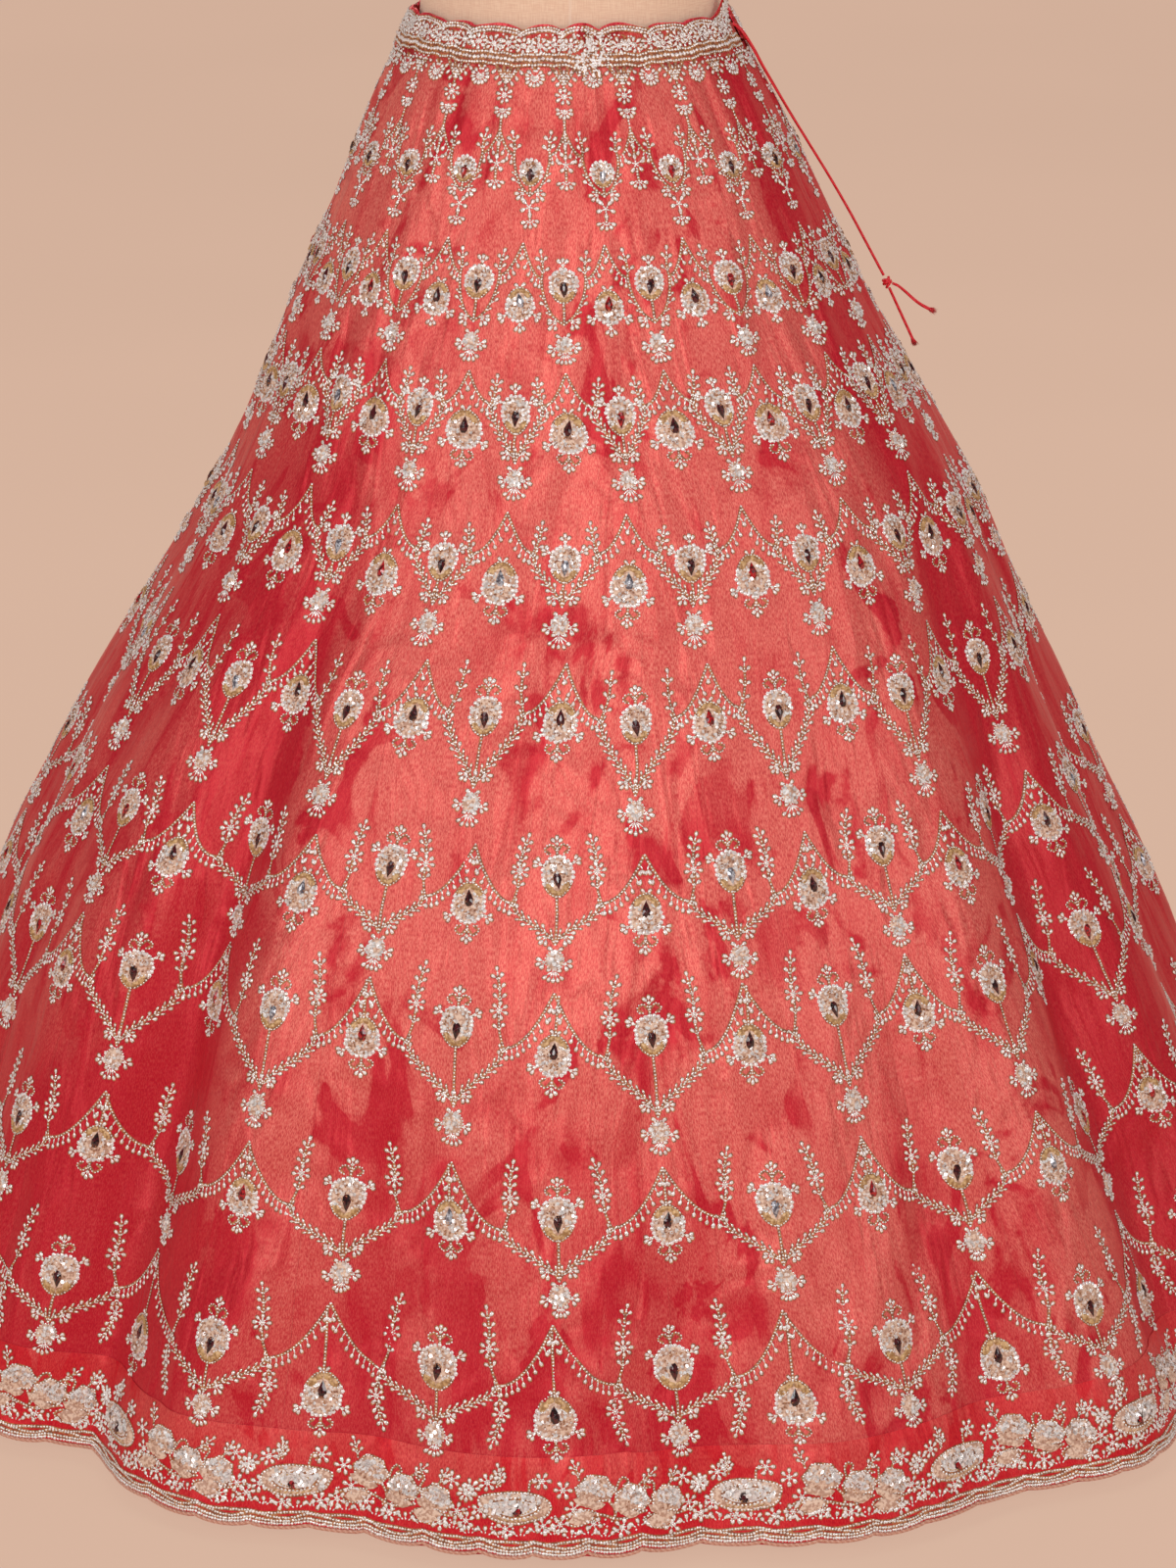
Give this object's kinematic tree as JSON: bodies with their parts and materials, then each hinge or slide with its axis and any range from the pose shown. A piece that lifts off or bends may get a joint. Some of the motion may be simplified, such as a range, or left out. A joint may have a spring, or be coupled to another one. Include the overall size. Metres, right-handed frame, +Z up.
{
  "type": "lehenga skirt on a dress form",
  "caption": "Long flared skirt with gathered panels, beaded trellis embroidery, scalloped belt and drawstring, worn by a plain limbless dress form on a round stand.",
  "frame": {"origin": "middle of the stand's underside, on the floor", "axes": "+Z up along the pole; the skirt's front faces -Y and the side opening with the drawstring is towards +X"},
  "size_m": [1.2347, 1.1117, 1.5333],
  "materials": {
    "coral_silk": "crinkled two-tone tissue silk, coral where it meets the light and crimson in the folds, with silver bead embroidery",
    "belt_silk": "coral silk belt covered with silver and gold beads",
    "red_satin": "smooth red satin",
    "border_silk": "deep red silk covered with beads and beige thread",
    "beige_cord": "rolled beige-gold thread",
    "red_cord": "twisted red satin cord",
    "beige_linen": "plain linen cover",
    "neck_wood": "satin varnish",
    "stand_steel": "brushed"
  },
  "bodies": {
    "root": {"kali_01": "coral_silk", "kali_02": "coral_silk", "kali_03": "coral_silk", "kali_04": "coral_silk", "kali_05": "coral_silk", "kali_06": "coral_silk", "kali_07": "coral_silk", "kali_08": "coral_silk", "kali_09": "coral_silk", "kali_10": "coral_silk", "kali_11": "coral_silk", "kali_12": "coral_silk", "waistband": "belt_silk", "waistband_facing": "red_satin", "hem_border": "border_silk", "hem_facing": "red_satin", "hem_edging": "beige_cord", "drawstring_a": "red_cord", "drawstring_b": "red_cord", "drawstring_knot": "red_cord", "drawstring_tail_a": "red_cord", "drawstring_tail_b": "red_cord", "form_torso": "beige_linen", "form_neck_plate": "neck_wood", "stand_pole": "stand_steel", "stand_base": "stand_steel"}
  },
  "joints": []
}
